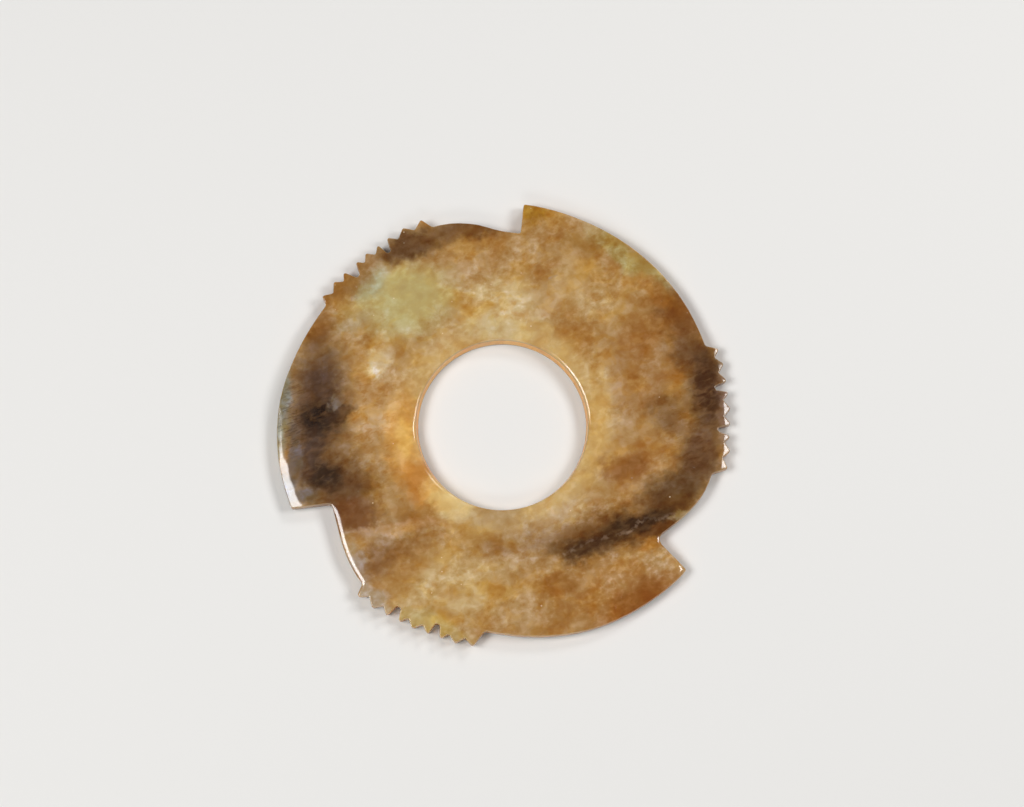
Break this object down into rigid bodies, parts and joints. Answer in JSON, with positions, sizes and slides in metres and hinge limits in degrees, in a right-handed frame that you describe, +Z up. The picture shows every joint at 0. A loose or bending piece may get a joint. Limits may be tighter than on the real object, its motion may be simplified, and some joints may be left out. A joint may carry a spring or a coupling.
{
  "type": "jade notched disc",
  "caption": "Flat carved stone ring with a round central hole, three hooked lobes and rows of small teeth cut along its rim, lying flat.",
  "frame": {"origin": "centre of the bounding box on the underside, the plane that the disc lies on", "axes": "+Z up out of the upper face, along the thickness; +X to the right and +Y away from a viewer who has the largest hook at the lower right"},
  "size_m": [0.129, 0.127, 0.005],
  "materials": {
    "nephrite": "polished, waxy gloss, slightly translucent, honey brown with dark clouds and pale flecks"
  },
  "bodies": {
    "root": {"notched_disc": "nephrite"}
  },
  "joints": []
}
